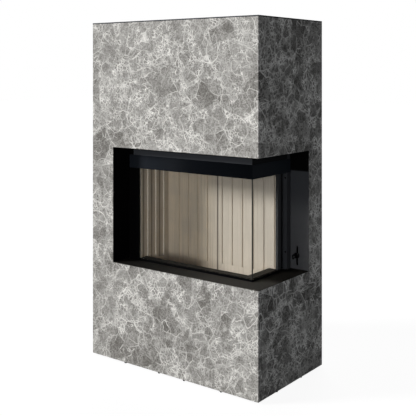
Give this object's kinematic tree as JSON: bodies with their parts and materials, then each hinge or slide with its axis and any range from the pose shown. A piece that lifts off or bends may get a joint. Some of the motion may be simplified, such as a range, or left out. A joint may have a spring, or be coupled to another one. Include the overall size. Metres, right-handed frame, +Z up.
{
  "type": "corner fireplace with lift-up glazed insert",
  "caption": "Corner fireplace insert in a casing of veined grey stone slabs: black steel recess, corner glass door lifting on cables, fluted pale firebox lining, ring handle for the air.",
  "frame": {"origin": "centre of the footprint on the floor, under the levelling feet", "axes": "+Z up, -Y the broad front, +X the narrow side with the open corner; metres"},
  "size_m": [1.086, 0.6, 1.808],
  "materials": {
    "veined_stone": "honed",
    "satin_black_steel": "satin",
    "gloss_black_enamel": "gloss",
    "zinc_steel": "satin",
    "refractory": "matt",
    "vermiculite": "matt",
    "clear_glass": "gloss",
    "black_seal": "matt",
    "black_iron": "matt",
    "steel_rope": "satin",
    "dark_handle_steel": "satin",
    "screw_steel": "satin"
  },
  "bodies": {
    "casing": {"front_lower_slab": "veined_stone", "front_upper_slab": "veined_stone", "right_lower_slab": "veined_stone", "right_upper_slab": "veined_stone", "left_lower_slab": "veined_stone", "left_upper_slab": "veined_stone", "back_sheet": "zinc_steel", "base_frame": "zinc_steel", "corner_posts": "zinc_steel", "sill_rails": "zinc_steel", "lintel_rails": "zinc_steel", "top_rails": "zinc_steel", "levelling_feet": "zinc_steel", "slab_clips": "zinc_steel", "insert_stand": "zinc_steel", "guide_rods": "zinc_steel", "rod_stops": "zinc_steel", "rod_cleats": "zinc_steel", "pulley_hangers": "zinc_steel", "air_box": "zinc_steel", "air_inlet_collar": "zinc_steel", "top_plate": "satin_black_steel", "sill_plates": "satin_black_steel", "soffit_plates": "satin_black_steel", "left_reveal": "satin_black_steel", "rear_reveal": "satin_black_steel", "fascia": "satin_black_steel", "left_guide_cover": "satin_black_steel", "left_guide_rail": "satin_black_steel", "right_channel": "satin_black_steel", "ledge_frame": "satin_black_steel", "body_shell": "satin_black_steel", "smoke_dome": "satin_black_steel", "flue_collar": "satin_black_steel", "header_band": "gloss_black_enamel", "channel_screws": "screw_steel", "back_panel_right": "refractory", "back_panel_left": "refractory", "left_panel": "refractory", "hearth_stones": "refractory", "baffle_plate": "vermiculite", "damper_housing": "black_iron", "top_cables": "steel_rope", "front_cables": "steel_rope", "rear_cables": "steel_rope"},
    "door": {"front_glass": "clear_glass", "side_glass": "clear_glass", "glass_seam": "black_seal", "door_top_rail": "satin_black_steel", "door_bottom_rail": "satin_black_steel", "door_left_stile": "satin_black_steel", "door_rear_stile": "satin_black_steel", "guide_shoes": "satin_black_steel", "door_cable_ends": "screw_steel"},
    "counterweight": {"counterweights": "black_iron"},
    "left_pulley": {"front_left_pulley": "zinc_steel"},
    "right_pulley": {"front_right_pulley": "zinc_steel"},
    "rear_shaft": {"rear_pulley_shaft": "zinc_steel"},
    "air_control": {"control_ring": "dark_handle_steel", "air_gate": "dark_handle_steel"}
  },
  "joints": [
    {"name": "door_lift", "type": "slide", "parent": "casing", "child": "door", "axis": [0, 0, 1], "range_m": [0, 0.47], "deforming": ["front_cables"]},
    {"name": "counterweight_drop", "type": "slide", "parent": "casing", "child": "counterweight", "axis": [0, 0, 1], "range_m": [-0.47, 0], "deforming": ["rear_cables"]},
    {"name": "left_pulley_spin", "type": "hinge", "parent": "casing", "child": "left_pulley", "pos_m": [-0.349, -0.1512, 1.7], "axis": [-1, 0, 0], "range_deg": [0, 850]},
    {"name": "right_pulley_spin", "type": "hinge", "parent": "casing", "child": "right_pulley", "pos_m": [0.425, 0.1198, 1.7], "axis": [-1, 0, 0], "range_deg": [0, 850]},
    {"name": "rear_shaft_spin", "type": "hinge", "parent": "casing", "child": "rear_shaft", "pos_m": [0.038, 0.19, 1.7], "axis": [-1, 0, 0], "range_deg": [0, 850]},
    {"name": "air_slide", "type": "slide", "parent": "casing", "child": "air_control", "axis": [0, 0, 1], "range_m": [-0.04, 0.04]}
  ],
  "couplings": [
    {"joint": "counterweight_drop", "follows": "door_lift", "ratio": -1},
    {"joint": "left_pulley_spin", "follows": "door_lift", "rad_per_m": 31.447},
    {"joint": "right_pulley_spin", "follows": "door_lift", "rad_per_m": 31.447},
    {"joint": "rear_shaft_spin", "follows": "door_lift", "rad_per_m": 31.447}
  ]
}
